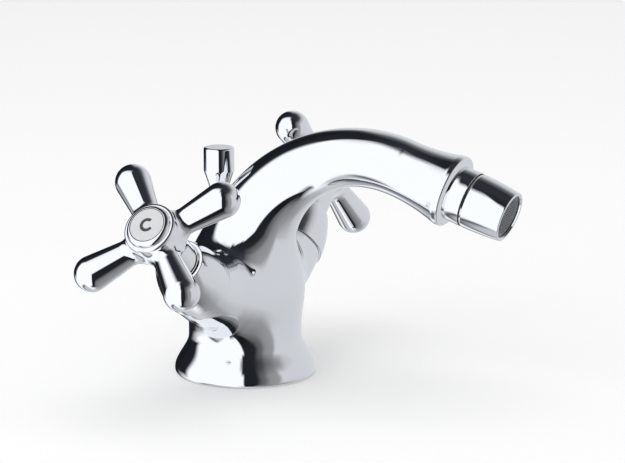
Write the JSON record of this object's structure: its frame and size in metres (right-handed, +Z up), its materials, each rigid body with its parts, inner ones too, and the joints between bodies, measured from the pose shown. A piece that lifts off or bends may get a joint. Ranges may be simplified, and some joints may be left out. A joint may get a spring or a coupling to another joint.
{
  "type": "bidet mixer tap",
  "caption": "Chromed deck-mounted bidet mixer with an arched spout, cross handles on inclined valves, a pop-up waste knob and a ball-jointed swivelling outlet.",
  "frame": {"origin": "centre of the round foot's underside, where the tap stands on its deck", "axes": "+Z up, the spout reaches along -Y, the hot handle stands at -X and the cold one at +X"},
  "size_m": [0.1958, 0.1613, 0.1094],
  "materials": {
    "chrome": "bright polished chrome plate",
    "handle_chrome": "bright polished chrome plate",
    "rod_steel": "drawn chromed brass rod",
    "brass": "machined brass",
    "rubber": "moulded black rubber",
    "ceramic": "lapped white ceramic",
    "index_disc": "pale satin disc with a fine ring line",
    "screw_steel": "stainless steel",
    "plastic": "dark moulded plastic"
  },
  "bodies": {
    "root": {"body_casting": "chrome", "base_seal": "rubber", "rod_guide": "plastic", "aerator_washer": "rubber", "swivel_collar": "chrome", "ball_seal": "rubber", "left_valve_bonnet": "brass", "left_bonnet_washer": "rubber", "left_seat_seal": "rubber", "left_fixed_disc": "ceramic", "left_spindle_seal": "rubber", "left_valve_shroud": "chrome", "right_valve_bonnet": "brass", "right_bonnet_washer": "rubber", "right_seat_seal": "rubber", "right_fixed_disc": "ceramic", "right_spindle_seal": "rubber", "right_valve_shroud": "chrome"},
    "left_handle": {"left_cross_handle": "handle_chrome", "left_spindle": "brass", "left_moving_disc": "ceramic", "left_spindle_clip": "screw_steel", "left_index_cap": "index_disc", "left_handle_screw": "screw_steel"},
    "right_handle": {"right_cross_handle": "handle_chrome", "right_spindle": "brass", "right_moving_disc": "ceramic", "right_spindle_clip": "screw_steel", "right_index_cap": "index_disc", "right_handle_screw": "screw_steel"},
    "waste_rod": {"lift_rod": "rod_steel", "lift_knob": "chrome"},
    "outlet_ring": {"ball_seat_ring": "plastic"},
    "outlet": {"swivel_ball": "brass", "nozzle_shell": "chrome", "aerator_insert": "plastic", "mesh_screen": "screw_steel"}
  },
  "joints": [
    {"name": "left_handle_turn", "type": "hinge", "parent": "root", "child": "left_handle", "pos_m": [-0.07396, 0, 0.0729], "axis": [-0.776, 0, 0.6307], "range_deg": [0, 90]},
    {"name": "right_handle_turn", "type": "hinge", "parent": "root", "child": "right_handle", "pos_m": [0.07396, 0, 0.0729], "axis": [0.776, 0, 0.6307], "range_deg": [0, 90]},
    {"name": "rod_lift", "type": "slide", "parent": "root", "child": "waste_rod", "axis": [0, 0, 1], "range_m": [0, 0.028]},
    {"name": "outlet_spin", "type": "hinge", "parent": "root", "child": "outlet_ring", "pos_m": [0, -0.09985, 0.08558], "axis": [0, -0.9483, -0.3173], "continuous": true},
    {"name": "outlet_tilt", "type": "hinge", "parent": "outlet_ring", "child": "outlet", "pos_m": [0, -0.09985, 0.08558], "axis": [1, 0, 0], "range_deg": [-15, 15]}
  ]
}
